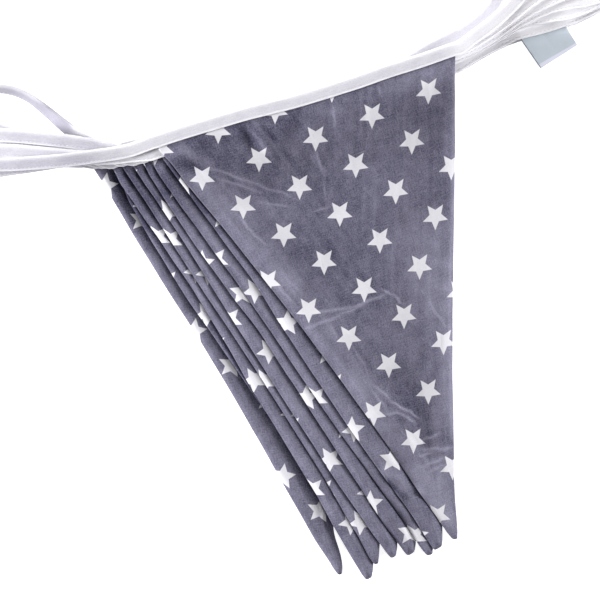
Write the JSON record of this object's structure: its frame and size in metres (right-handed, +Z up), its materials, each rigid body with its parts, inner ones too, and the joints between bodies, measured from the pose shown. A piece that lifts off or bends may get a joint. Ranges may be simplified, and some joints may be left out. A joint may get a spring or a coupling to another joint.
{
  "type": "fabric pennant bunting",
  "caption": "Cotton pennant bunting folded into a fanned pile, with triangular pennants sewn into one folded binding tape whose free ends tie it up.",
  "frame": {"origin": "the surface that the pile lies on, under the middle of its outer box", "axes": "+Z up from the surface; +X to the right along the pile's longest reach, with the front pennant's free side along Y; the pennants' tips point to -Y"},
  "size_m": [0.4621, 0.4296, 0.0254],
  "materials": {
    "printed_cotton": "matt plain weave, printed with small white stars",
    "white_binding": "matt plain weave, stitched along its lower edge",
    "pale_satin": "smooth satin weave"
  },
  "bodies": {
    "root": {"pennant_1": "printed_cotton", "pennant_2": "printed_cotton", "pennant_3": "printed_cotton", "pennant_4": "printed_cotton", "pennant_5": "printed_cotton", "pennant_6": "printed_cotton", "pennant_7": "printed_cotton", "pennant_8": "printed_cotton", "pennant_9": "printed_cotton", "tape": "white_binding", "label": "pale_satin"}
  },
  "joints": []
}
